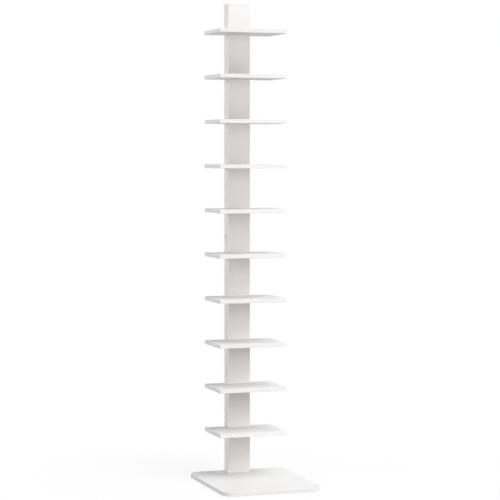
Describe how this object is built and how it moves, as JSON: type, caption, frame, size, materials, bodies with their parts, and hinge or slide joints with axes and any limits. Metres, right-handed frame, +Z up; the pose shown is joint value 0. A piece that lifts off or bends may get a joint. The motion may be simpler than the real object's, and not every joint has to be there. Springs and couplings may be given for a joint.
{
  "type": "spine bookshelf",
  "caption": "Tall free-standing bookshelf: notched open shelves of white board stacked up a hollow square-cut spine that stands at the rear of a wide round-cornered base board.",
  "frame": {"origin": "on the floor, under the middle of the base board", "axes": "+Z up along the spine, -Y to the front of the shelves, +X to the right seen from the front"},
  "size_m": [0.4, 0.48, 1.908],
  "materials": {
    "faced_board": "white melamine facing, fine matt grain",
    "edge_band": "white plastic edge band, satin",
    "wrapped_board": "white foil-wrapped board, matt",
    "back_panel": "white lacquered hardboard, matt",
    "block_wood": "planed softwood",
    "dowel_wood": "turned beech",
    "zinc_steel": "bright zinc plating",
    "pad_rubber": "soft matt foam rubber"
  },
  "bodies": {
    "root": {"base_board": "faced_board", "shelf_01": "faced_board", "shelf_02": "faced_board", "shelf_03": "faced_board", "shelf_04": "faced_board", "shelf_05": "faced_board", "shelf_06": "faced_board", "shelf_07": "faced_board", "shelf_08": "faced_board", "shelf_09": "faced_board", "shelf_10": "faced_board", "base_edge_band": "edge_band", "shelf_01_edge_band": "edge_band", "shelf_02_edge_band": "edge_band", "shelf_03_edge_band": "edge_band", "shelf_04_edge_band": "edge_band", "shelf_05_edge_band": "edge_band", "shelf_06_edge_band": "edge_band", "shelf_07_edge_band": "edge_band", "shelf_08_edge_band": "edge_band", "shelf_09_edge_band": "edge_band", "shelf_10_edge_band": "edge_band", "spine_lower_front": "wrapped_board", "spine_lower_left": "wrapped_board", "spine_lower_right": "wrapped_board", "spine_upper_front": "wrapped_board", "spine_upper_left": "wrapped_board", "spine_upper_right": "wrapped_board", "spine_lower_back": "back_panel", "spine_upper_back": "back_panel", "spine_foot_block": "block_wood", "spine_splice_block": "block_wood", "spine_top_block": "block_wood", "shelf_dowels": "dowel_wood", "spine_dowels": "dowel_wood", "base_dowels": "dowel_wood", "shelf_screws": "zinc_steel", "base_screws": "zinc_steel", "base_bolts": "zinc_steel", "base_inserts": "zinc_steel", "block_screws": "zinc_steel", "panel_screws": "zinc_steel", "splice_bolts": "zinc_steel", "splice_inserts": "zinc_steel", "foot_pads": "pad_rubber"}
  },
  "joints": []
}
